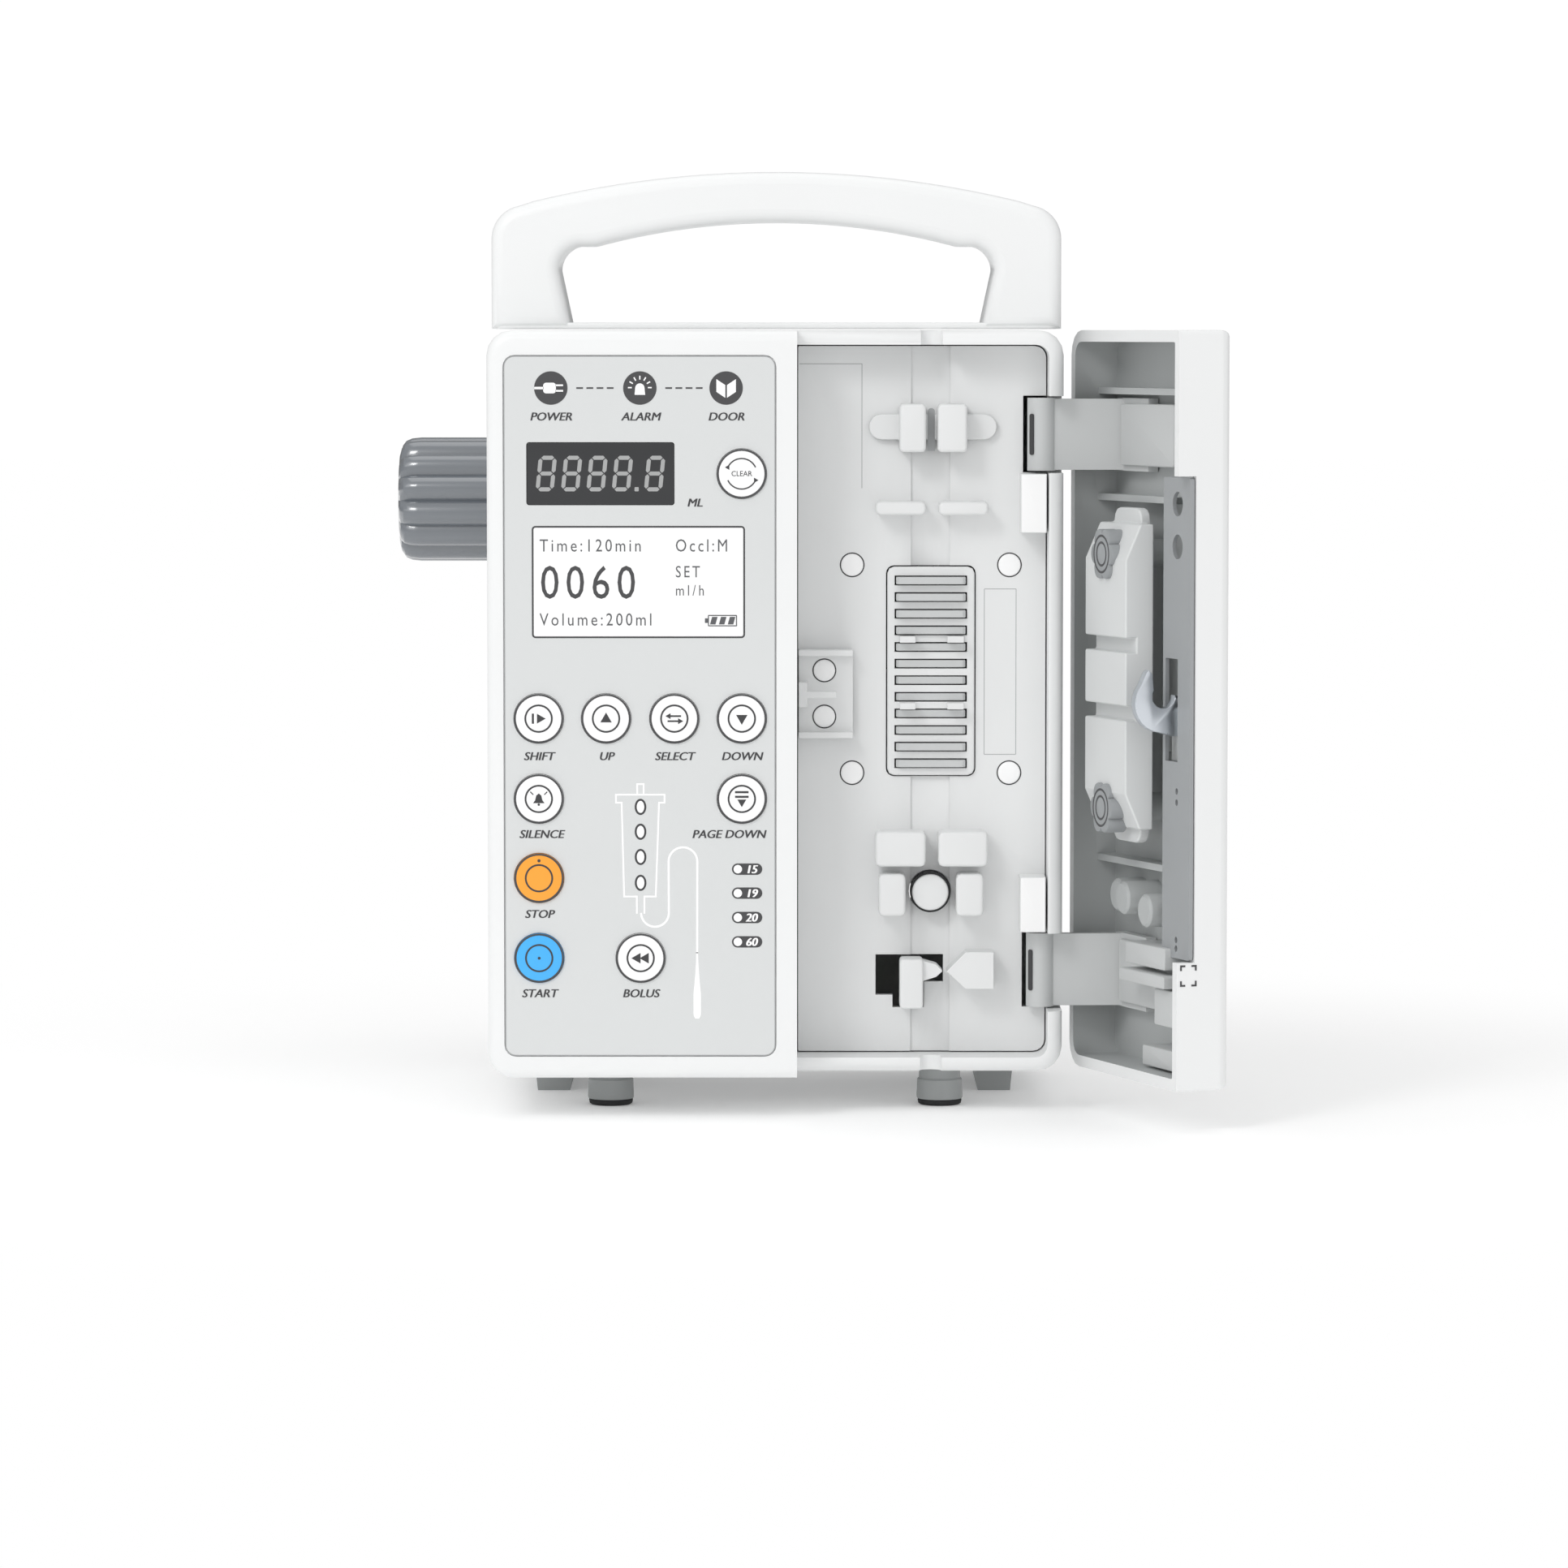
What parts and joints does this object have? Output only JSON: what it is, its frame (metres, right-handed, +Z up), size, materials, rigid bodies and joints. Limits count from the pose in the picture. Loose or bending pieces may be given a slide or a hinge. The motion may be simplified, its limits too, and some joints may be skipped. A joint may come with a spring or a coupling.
{
  "type": "infusion pump",
  "caption": "Bedside volumetric infusion pump with a keypad front, an open swing-out tube door, a carry handle and a rear pole clamp.",
  "frame": {"origin": "centre of the bounding box at the level of the feet, with the door open", "axes": "+Z up, +X to the pump's right as its user faces it, +Y towards its back; the keypad faces -Y"},
  "size_m": [0.2026, 0.1846, 0.2251],
  "materials": {
    "casing": "satin moulded ABS",
    "bay": "moulded ABS, fine matt",
    "overlay": "printed polyester sheet",
    "dark_window": "smoked window",
    "light_window": "clear window over a pale display",
    "key_white": "printed key",
    "key_orange": "printed key",
    "key_blue": "printed key",
    "grey_plastic": "moulded",
    "knob_grey": "moulded",
    "rubber": "matt rubber",
    "steel": "brushed",
    "aluminium": "plain",
    "board": "coated circuit board",
    "black_plastic": "moulded"
  },
  "bodies": {
    "pump_body": {"front_housing": "casing", "rear_housing": "casing", "bay_plate": "bay", "finger_window": "bay", "carry_handle": "casing", "keypad_overlay": "overlay", "led_display": "dark_window", "lcd_display": "light_window", "front_board": "board", "main_board": "board", "battery_pack": "black_plastic", "power_supply": "aluminium", "mains_inlet": "black_plastic", "pump_frame": "aluminium", "stepper_motor": "black_plastic", "clamp_bush": "steel", "timing_belt": "rubber", "bubble_detector": "bay", "latch_striker": "bay", "front_foot_left": "grey_plastic", "front_foot_right": "grey_plastic", "rear_foot_left": "grey_plastic", "rear_foot_right": "grey_plastic", "clamp_bracket": "knob_grey"},
    "door": {"door_shell": "casing", "door_latch_plate": "steel", "hinge_arm_upper": "grey_plastic", "hinge_arm_lower": "grey_plastic"},
    "door_platen": {"platen": "bay"},
    "door_latch": {"latch_hook": "steel", "latch_lever": "grey_plastic"},
    "camshaft": {"camshaft": "steel"},
    "motor_pulley": {"motor_pulley": "aluminium"},
    "pressure_plunger": {"pressure_plunger": "bay"},
    "flow_clamp_jaw": {"flow_clamp_jaw": "bay"},
    "clamp_pad": {"clamp_pad": "rubber"},
    "clamp_knob": {"clamp_knob": "knob_grey", "clamp_screw": "steel"},
    "finger_01": {"finger_01": "grey_plastic"},
    "finger_02": {"finger_02": "grey_plastic"},
    "finger_03": {"finger_03": "grey_plastic"},
    "finger_04": {"finger_04": "grey_plastic"},
    "finger_05": {"finger_05": "grey_plastic"},
    "finger_06": {"finger_06": "grey_plastic"},
    "finger_07": {"finger_07": "grey_plastic"},
    "finger_08": {"finger_08": "grey_plastic"},
    "finger_09": {"finger_09": "grey_plastic"},
    "finger_10": {"finger_10": "grey_plastic"},
    "finger_11": {"finger_11": "grey_plastic"},
    "finger_12": {"finger_12": "grey_plastic"},
    "key_clear": {"key_clear": "key_white"},
    "key_shift": {"key_shift": "key_white"},
    "key_up": {"key_up": "key_white"},
    "key_select": {"key_select": "key_white"},
    "key_down": {"key_down": "key_white"},
    "key_silence": {"key_silence": "key_white"},
    "key_page_down": {"key_page_down": "key_white"},
    "key_stop": {"key_stop": "key_orange"},
    "key_start": {"key_start": "key_blue"},
    "key_bolus": {"key_bolus": "key_white"}
  },
  "joints": [
    {"name": "door_hinge", "type": "hinge", "parent": "pump_body", "child": "door", "pos_m": [0.05923, -0.04123, 0.09875], "axis": [0, 0, 1], "range_deg": [-110.7, 0]},
    {"name": "door_latch_turn", "type": "hinge", "parent": "door", "child": "door_latch", "pos_m": [0.09297, -0.07819, 0.094], "axis": [-0.3535, 0.9354, 0], "range_deg": [-25, 0], "stiffness_Nm_per_rad": 0.15, "springref_deg": 2.86},
    {"name": "platen_press", "type": "slide", "parent": "door", "child": "door_platen", "axis": [0.9354, 0.3535, 0], "range_m": [0, 0.0015], "stiffness_N_per_m": 3000},
    {"name": "camshaft_turn", "type": "hinge", "parent": "pump_body", "child": "camshaft", "pos_m": [0.03273, -0.01873, 0.1], "axis": [0, 0, 1], "continuous": true},
    {"name": "motor_pulley_turn", "type": "hinge", "parent": "pump_body", "child": "motor_pulley", "pos_m": [0.03273, 0.01877, 0.146], "axis": [0, 0, 1], "continuous": true},
    {"name": "plunger_press", "type": "slide", "parent": "pump_body", "child": "pressure_plunger", "axis": [0, 1, 0], "range_m": [0, 0.0005], "stiffness_N_per_m": 2000},
    {"name": "flow_clamp_slide", "type": "slide", "parent": "pump_body", "child": "flow_clamp_jaw", "axis": [1, 0, 0], "range_m": [-0.005, 0], "stiffness_N_per_m": 300},
    {"name": "clamp_pad_slide", "type": "slide", "parent": "pump_body", "child": "clamp_pad", "axis": [1, 0, 0], "range_m": [-0.006, 0.018]},
    {"name": "clamp_knob_turn", "type": "hinge", "parent": "clamp_pad", "child": "clamp_knob", "pos_m": [-0.10127, 0.07427, 0.144], "axis": [1, 0, 0], "range_deg": [-721, 2161]},
    {"name": "finger_01_slide", "type": "slide", "parent": "pump_body", "child": "finger_01", "axis": [0, 1, 0], "range_m": [-0.00003, 0.00197], "stiffness_N_per_m": 150},
    {"name": "finger_02_slide", "type": "slide", "parent": "pump_body", "child": "finger_02", "axis": [0, 1, 0], "range_m": [-0.00003, 0.00197], "stiffness_N_per_m": 150},
    {"name": "finger_03_slide", "type": "slide", "parent": "pump_body", "child": "finger_03", "axis": [0, 1, 0], "range_m": [-0.00029, 0.00171], "stiffness_N_per_m": 150},
    {"name": "finger_04_slide", "type": "slide", "parent": "pump_body", "child": "finger_04", "axis": [0, 1, 0], "range_m": [-0.00074, 0.00126], "stiffness_N_per_m": 150},
    {"name": "finger_05_slide", "type": "slide", "parent": "pump_body", "child": "finger_05", "axis": [0, 1, 0], "range_m": [-0.00126, 0.00074], "stiffness_N_per_m": 150},
    {"name": "finger_06_slide", "type": "slide", "parent": "pump_body", "child": "finger_06", "axis": [0, 1, 0], "range_m": [-0.00171, 0.00029], "stiffness_N_per_m": 150},
    {"name": "finger_07_slide", "type": "slide", "parent": "pump_body", "child": "finger_07", "axis": [0, 1, 0], "range_m": [-0.00197, 0.00003], "stiffness_N_per_m": 150},
    {"name": "finger_08_slide", "type": "slide", "parent": "pump_body", "child": "finger_08", "axis": [0, 1, 0], "range_m": [-0.00197, 0.00003], "stiffness_N_per_m": 150},
    {"name": "finger_09_slide", "type": "slide", "parent": "pump_body", "child": "finger_09", "axis": [0, 1, 0], "range_m": [-0.00171, 0.00029], "stiffness_N_per_m": 150},
    {"name": "finger_10_slide", "type": "slide", "parent": "pump_body", "child": "finger_10", "axis": [0, 1, 0], "range_m": [-0.00126, 0.00074], "stiffness_N_per_m": 150},
    {"name": "finger_11_slide", "type": "slide", "parent": "pump_body", "child": "finger_11", "axis": [0, 1, 0], "range_m": [-0.00074, 0.00126], "stiffness_N_per_m": 150},
    {"name": "finger_12_slide", "type": "slide", "parent": "pump_body", "child": "finger_12", "axis": [0, 1, 0], "range_m": [-0.00029, 0.00171], "stiffness_N_per_m": 150},
    {"name": "key_clear_press", "type": "slide", "parent": "pump_body", "child": "key_clear", "axis": [0, 1, 0], "range_m": [0, 0.0005], "stiffness_N_per_m": 1000},
    {"name": "key_shift_press", "type": "slide", "parent": "pump_body", "child": "key_shift", "axis": [0, 1, 0], "range_m": [0, 0.0005], "stiffness_N_per_m": 1000},
    {"name": "key_up_press", "type": "slide", "parent": "pump_body", "child": "key_up", "axis": [0, 1, 0], "range_m": [0, 0.0005], "stiffness_N_per_m": 1000},
    {"name": "key_select_press", "type": "slide", "parent": "pump_body", "child": "key_select", "axis": [0, 1, 0], "range_m": [0, 0.0005], "stiffness_N_per_m": 1000},
    {"name": "key_down_press", "type": "slide", "parent": "pump_body", "child": "key_down", "axis": [0, 1, 0], "range_m": [0, 0.0005], "stiffness_N_per_m": 1000},
    {"name": "key_silence_press", "type": "slide", "parent": "pump_body", "child": "key_silence", "axis": [0, 1, 0], "range_m": [0, 0.0005], "stiffness_N_per_m": 1000},
    {"name": "key_page_down_press", "type": "slide", "parent": "pump_body", "child": "key_page_down", "axis": [0, 1, 0], "range_m": [0, 0.0005], "stiffness_N_per_m": 1000},
    {"name": "key_stop_press", "type": "slide", "parent": "pump_body", "child": "key_stop", "axis": [0, 1, 0], "range_m": [0, 0.0005], "stiffness_N_per_m": 1000},
    {"name": "key_start_press", "type": "slide", "parent": "pump_body", "child": "key_start", "axis": [0, 1, 0], "range_m": [0, 0.0005], "stiffness_N_per_m": 1000},
    {"name": "key_bolus_press", "type": "slide", "parent": "pump_body", "child": "key_bolus", "axis": [0, 1, 0], "range_m": [0, 0.0005], "stiffness_N_per_m": 1000}
  ],
  "couplings": [
    {"joint": "motor_pulley_turn", "follows": "camshaft_turn", "ratio": 1.5},
    {"joint": "clamp_knob_turn", "follows": "clamp_pad_slide", "rad_per_m": 2094.4}
  ]
}
